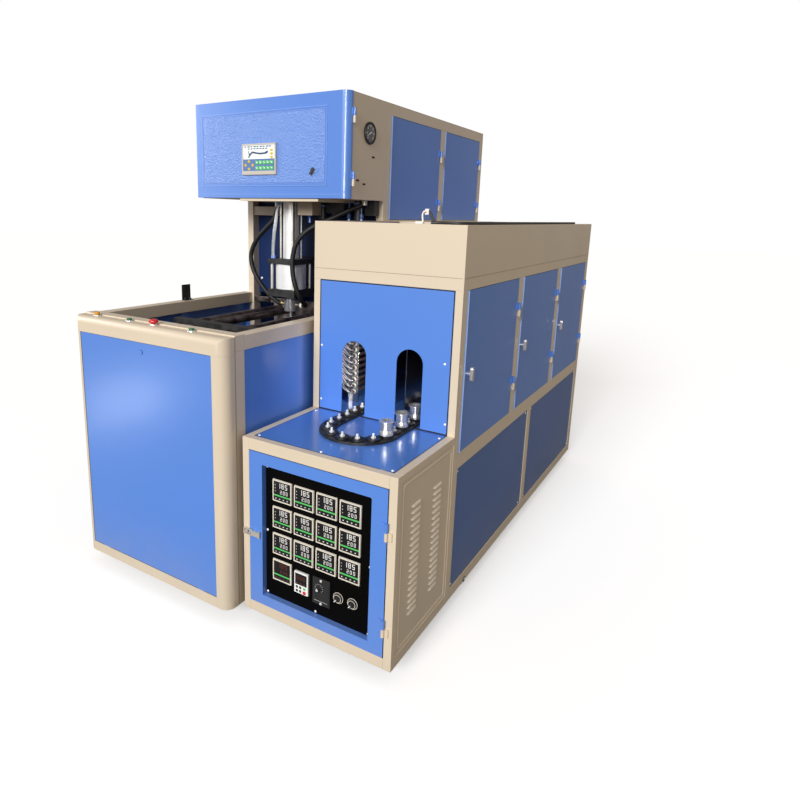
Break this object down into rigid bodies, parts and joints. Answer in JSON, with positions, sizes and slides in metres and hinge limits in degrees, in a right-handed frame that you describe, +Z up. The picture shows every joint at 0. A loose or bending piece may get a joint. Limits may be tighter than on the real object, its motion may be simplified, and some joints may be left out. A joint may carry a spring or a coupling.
{
  "type": "blow moulding machine",
  "caption": "Semi-automatic bottle blow moulding set: open mould tub with overhanging stretch-blow head and cabinet, beside a preform oven with arches and control door.",
  "frame": {"origin": "middle of the set's outline, on the floor", "axes": "+X to the right along both fronts, +Y from the fronts to the backs, +Z up"},
  "size_m": [1.683, 2.773, 2.244],
  "materials": {
    "cream": "satin cream powder coat",
    "blue": "satin blue powder coat, fine orange peel",
    "dark_blue": "satin blue powder coat",
    "black_steel": "black painted steel plate",
    "silver": "turned and ground steel",
    "barrel": "anodised aluminium barrels",
    "zinc": "zinc plated steel",
    "reflector": "polished sheet",
    "ceramic": "white ceramic ends and frosted lamps",
    "black_plastic": "matte black",
    "panel_black": "matte black panel",
    "grey_plastic": "grey moulded bezels",
    "red_plastic": "red push cap",
    "amber_plastic": "amber push cap",
    "green_plastic": "green push cap",
    "rubber": "black rubber hose",
    "clear_tube": "white air tube",
    "tread": "black caster tread",
    "chain": "blackened steel chain discs"
  },
  "bodies": {
    "machine": {"blower_frame": "cream", "tub_cover": "cream", "blower_panels": "dark_blue", "blower_shell": "cream", "clamp_frame": "black_steel", "air_cylinders": "barrel", "cylinder_plates": "black_steel", "hose_left": "rubber", "hose_right": "rubber", "air_tubes": "clear_tube", "air_gear": "black_steel", "pressure_gauge": "black_plastic", "heater_frame": "cream", "heater_hood": "cream", "heater_panels": "blue", "oven_front": "blue", "table_top": "blue", "louvre_panel": "cream", "chain_track": "chain", "chain_studs": "silver", "lamp_bank": "ceramic", "reflectors": "reflector", "hinge_bases": "cream", "steel_fittings": "zinc", "top_cables": "rubber"},
    "front_panel": {"front_panel": "blue"},
    "head_door": {"head_door": "blue", "head_screen": "grey_plastic"},
    "head_lock": {"head_lock": "black_plastic"},
    "cab_door_front": {"cab_door_front": "blue"},
    "cab_door_rear": {"cab_door_rear": "blue"},
    "e_stop": {"e_stop": "red_plastic"},
    "amber_button": {"amber_button": "amber_plastic"},
    "green_button_left": {"green_button_left": "green_plastic"},
    "green_button_right": {"green_button_right": "green_plastic"},
    "moving_platen": {"moving_platen": "black_steel"},
    "blow_nozzle": {"blow_nozzle": "silver"},
    "stretch_rod": {"stretch_rod": "silver"},
    "preform_cup_1": {"preform_cup_1": "silver"},
    "preform_cup_2": {"preform_cup_2": "silver"},
    "preform_cup_3": {"preform_cup_3": "silver"},
    "control_door": {"control_door": "blue", "control_panel": "panel_black", "controllers": "grey_plastic"},
    "speed_knob": {"speed_knob": "black_plastic"},
    "rotary_switch_left": {"rotary_switch_left": "black_plastic"},
    "rotary_switch_right": {"rotary_switch_right": "black_plastic"},
    "door_latch": {"door_latch": "zinc"},
    "oven_door_1": {"oven_door_1": "blue"},
    "oven_door_2": {"oven_door_2": "blue"},
    "oven_door_3": {"oven_door_3": "blue"},
    "oven_handle_1": {"oven_handle_1": "silver"},
    "oven_handle_2": {"oven_handle_2": "silver"},
    "oven_handle_3": {"oven_handle_3": "silver"},
    "caster_fork_left": {"caster_fork_left": "zinc"},
    "caster_fork_right": {"caster_fork_right": "zinc"},
    "caster_wheel_1": {"caster_wheel_1": "tread"},
    "caster_wheel_2": {"caster_wheel_2": "tread"},
    "caster_wheel_3": {"caster_wheel_3": "tread"},
    "caster_wheel_4": {"caster_wheel_4": "tread"}
  },
  "joints": [
    {"name": "front_panel_tilt", "type": "hinge", "parent": "machine", "child": "front_panel", "pos_m": [-0.3695, -1.3825, 0.113], "axis": [1, 0, 0], "range_deg": [0, 30]},
    {"name": "head_door_swing", "type": "hinge", "parent": "machine", "child": "head_door", "pos_m": [0.125, -0.5365, 2], "axis": [0, 0, 1], "range_deg": [0, 110]},
    {"name": "head_lock_turn", "type": "hinge", "parent": "head_door", "child": "head_lock", "pos_m": [-0.0735, -0.5875, 1.894], "axis": [0, -1, 0], "range_deg": [0, 90]},
    {"name": "cab_door_front_swing", "type": "hinge", "parent": "machine", "child": "cab_door_front", "pos_m": [0.1225, 0.4435, 2], "axis": [0, 0, 1], "range_deg": [0, 110]},
    {"name": "cab_door_rear_swing", "type": "hinge", "parent": "machine", "child": "cab_door_rear", "pos_m": [0.1225, 1.0695, 2], "axis": [0, 0, 1], "range_deg": [0, 110]},
    {"name": "e_stop_press", "type": "slide", "parent": "machine", "child": "e_stop", "axis": [0, 0, -1], "range_m": [0, 0.004], "stiffness_N_per_m": 500},
    {"name": "amber_button_press", "type": "slide", "parent": "machine", "child": "amber_button", "axis": [0, 0, -1], "range_m": [0, 0.004], "stiffness_N_per_m": 500},
    {"name": "green_button_left_press", "type": "slide", "parent": "machine", "child": "green_button_left", "axis": [0, 0, -1], "range_m": [0, 0.004], "stiffness_N_per_m": 500},
    {"name": "green_button_right_press", "type": "slide", "parent": "machine", "child": "green_button_right", "axis": [0, 0, -1], "range_m": [0, 0.004], "stiffness_N_per_m": 500},
    {"name": "platen_travel", "type": "slide", "parent": "machine", "child": "moving_platen", "axis": [0, 1, 0], "range_m": [0, 0.395]},
    {"name": "nozzle_travel", "type": "slide", "parent": "machine", "child": "blow_nozzle", "axis": [0, 0, -1], "range_m": [0, 0.05], "deforming": ["hose_left", "hose_right"]},
    {"name": "stretch_travel", "type": "slide", "parent": "machine", "child": "stretch_rod", "axis": [0, 0, -1], "range_m": [0, 0.485]},
    {"name": "preform_cup_1_spin", "type": "hinge", "parent": "machine", "child": "preform_cup_1", "pos_m": [0.599, -0.74897, 0.87], "axis": [0, 0, 1], "continuous": true},
    {"name": "preform_cup_2_spin", "type": "hinge", "parent": "machine", "child": "preform_cup_2", "pos_m": [0.599, -0.87597, 0.87], "axis": [0, 0, 1], "continuous": true},
    {"name": "preform_cup_3_spin", "type": "hinge", "parent": "machine", "child": "preform_cup_3", "pos_m": [0.59696, -1.00286, 0.87], "axis": [0, 0, 1], "continuous": true},
    {"name": "control_door_swing", "type": "hinge", "parent": "machine", "child": "control_door", "pos_m": [0.7805, -1.3175, 0.43], "axis": [0, 0, 1], "range_deg": [0, 110]},
    {"name": "speed_knob_turn", "type": "hinge", "parent": "control_door", "child": "speed_knob", "pos_m": [0.4855, -1.3035, 0.28], "axis": [0, -1, 0], "range_deg": [-270, 0]},
    {"name": "rotary_switch_left_turn", "type": "hinge", "parent": "control_door", "child": "rotary_switch_left", "pos_m": [0.5705, -1.3005, 0.268], "axis": [0, -1, 0], "range_deg": [-45, 45]},
    {"name": "rotary_switch_right_turn", "type": "hinge", "parent": "control_door", "child": "rotary_switch_right", "pos_m": [0.6345, -1.3005, 0.268], "axis": [0, -1, 0], "range_deg": [-45, 45]},
    {"name": "door_latch_swing", "type": "hinge", "parent": "control_door", "child": "door_latch", "pos_m": [0.2005, -1.3155, 0.424], "axis": [0, 0, 1], "range_deg": [0, 150]},
    {"name": "oven_door_1_swing", "type": "hinge", "parent": "machine", "child": "oven_door_1", "pos_m": [0.8225, -0.1145, 1.08], "axis": [0, 0, 1], "range_deg": [0, 110]},
    {"name": "oven_handle_1_turn", "type": "hinge", "parent": "oven_door_1", "child": "oven_handle_1", "pos_m": [0.8245, -0.7325, 1.074], "axis": [1, 0, 0], "range_deg": [0, 90]},
    {"name": "oven_door_2_swing", "type": "hinge", "parent": "machine", "child": "oven_door_2", "pos_m": [0.8225, 0.607, 1.08], "axis": [0, 0, 1], "range_deg": [0, 110]},
    {"name": "oven_handle_2_turn", "type": "hinge", "parent": "oven_door_2", "child": "oven_handle_2", "pos_m": [0.8245, -0.011, 1.074], "axis": [1, 0, 0], "range_deg": [0, 90]},
    {"name": "oven_door_3_swing", "type": "hinge", "parent": "machine", "child": "oven_door_3", "pos_m": [0.8225, 1.3285, 1.08], "axis": [0, 0, 1], "range_deg": [0, 110]},
    {"name": "oven_handle_3_turn", "type": "hinge", "parent": "oven_door_3", "child": "oven_handle_3", "pos_m": [0.8245, 0.7105, 1.074], "axis": [1, 0, 0], "range_deg": [0, 90]},
    {"name": "caster_left_swivel", "type": "hinge", "parent": "machine", "child": "caster_fork_left", "pos_m": [0.1745, -1.0085, 0.05], "axis": [0, 0, 1], "continuous": true},
    {"name": "caster_right_swivel", "type": "hinge", "parent": "machine", "child": "caster_fork_right", "pos_m": [0.7545, -1.0085, 0.05], "axis": [0, 0, 1], "continuous": true},
    {"name": "caster_wheel_1_roll", "type": "hinge", "parent": "caster_fork_left", "child": "caster_wheel_1", "pos_m": [0.1745, -0.9865, 0.025], "axis": [1, 0, 0], "continuous": true},
    {"name": "caster_wheel_2_roll", "type": "hinge", "parent": "caster_fork_right", "child": "caster_wheel_2", "pos_m": [0.7545, -0.9865, 0.025], "axis": [1, 0, 0], "continuous": true},
    {"name": "caster_wheel_3_roll", "type": "hinge", "parent": "machine", "child": "caster_wheel_3", "pos_m": [0.1745, 1.0865, 0.025], "axis": [1, 0, 0], "continuous": true},
    {"name": "caster_wheel_4_roll", "type": "hinge", "parent": "machine", "child": "caster_wheel_4", "pos_m": [0.7545, 1.0865, 0.025], "axis": [1, 0, 0], "continuous": true}
  ]
}
